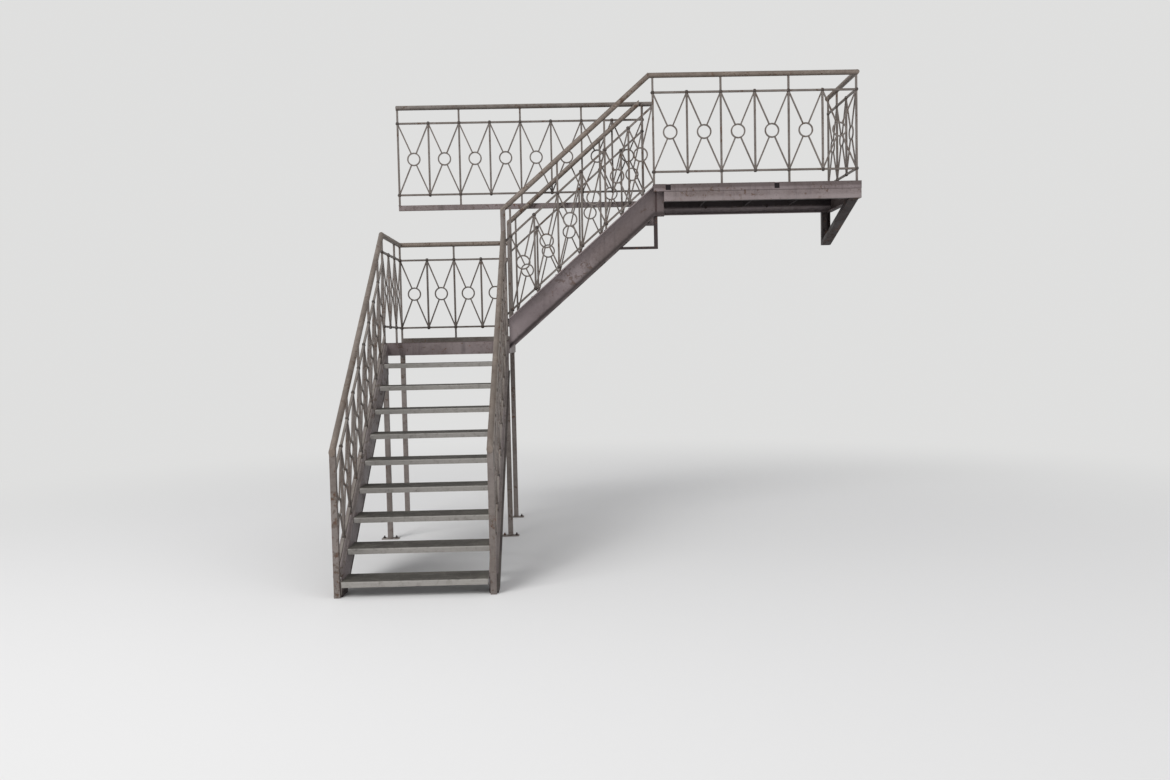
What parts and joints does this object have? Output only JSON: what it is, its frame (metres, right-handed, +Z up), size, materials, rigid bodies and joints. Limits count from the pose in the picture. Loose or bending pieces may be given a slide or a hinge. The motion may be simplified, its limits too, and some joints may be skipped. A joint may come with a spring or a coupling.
{
  "type": "quarter-turn steel stair",
  "caption": "Painted steel quarter-turn stair with a landing on legs, a wall platform, folded treads, tubular handrails and guards of crossing bars and rings.",
  "frame": {"origin": "centre of the underside of the base plate of the landing's back left leg, on the floor", "axes": "+X along the wall, the way the upper flight climbs; +Y towards the back wall, the way the lower flight climbs; +Z up"},
  "size_m": [4.047, 2.8066, 3.8102],
  "materials": {
    "beam_paint": "worn satin",
    "guard_paint": "worn satin",
    "rail_paint": "worn satin",
    "tread_paint": "worn, dusty",
    "deck_paint": "worn, dusty",
    "bracket_paint": "dark, rusty"
  },
  "bodies": {
    "root": {"lower_stringer_left": "beam_paint", "lower_stringer_right": "beam_paint", "lower_tread_1": "tread_paint", "lower_tread_2": "tread_paint", "lower_tread_3": "tread_paint", "lower_tread_4": "tread_paint", "lower_tread_5": "tread_paint", "lower_tread_6": "tread_paint", "lower_tread_7": "tread_paint", "lower_tread_8": "tread_paint", "lower_tread_9": "tread_paint", "foot_posts": "guard_paint", "lower_guard_left": "guard_paint", "lower_guard_right": "guard_paint", "lower_handrails": "rail_paint", "landing_handrail": "rail_paint", "landing_edge_beams": "beam_paint", "landing_cross_beams": "beam_paint", "landing_deck": "deck_paint", "landing_legs": "beam_paint", "landing_guard_left": "guard_paint", "landing_guard_back": "guard_paint", "upper_stringer_front": "beam_paint", "upper_stringer_wall": "beam_paint", "upper_tread_1": "tread_paint", "upper_tread_2": "tread_paint", "upper_tread_3": "tread_paint", "upper_tread_4": "tread_paint", "upper_tread_5": "tread_paint", "upper_tread_6": "tread_paint", "newel_posts": "guard_paint", "upper_guard_front": "guard_paint", "upper_guard_wall": "guard_paint", "upper_handrails": "rail_paint", "platform_handrail": "rail_paint", "platform_front_beam": "beam_paint", "platform_back_beam": "beam_paint", "platform_cross_beams": "beam_paint", "platform_deck": "deck_paint", "platform_guard_front": "guard_paint", "platform_guard_end": "guard_paint", "wall_bracket": "bracket_paint", "knee_brace": "bracket_paint", "gallery_edge_bar": "beam_paint", "gallery_guard": "guard_paint"}
  },
  "joints": []
}
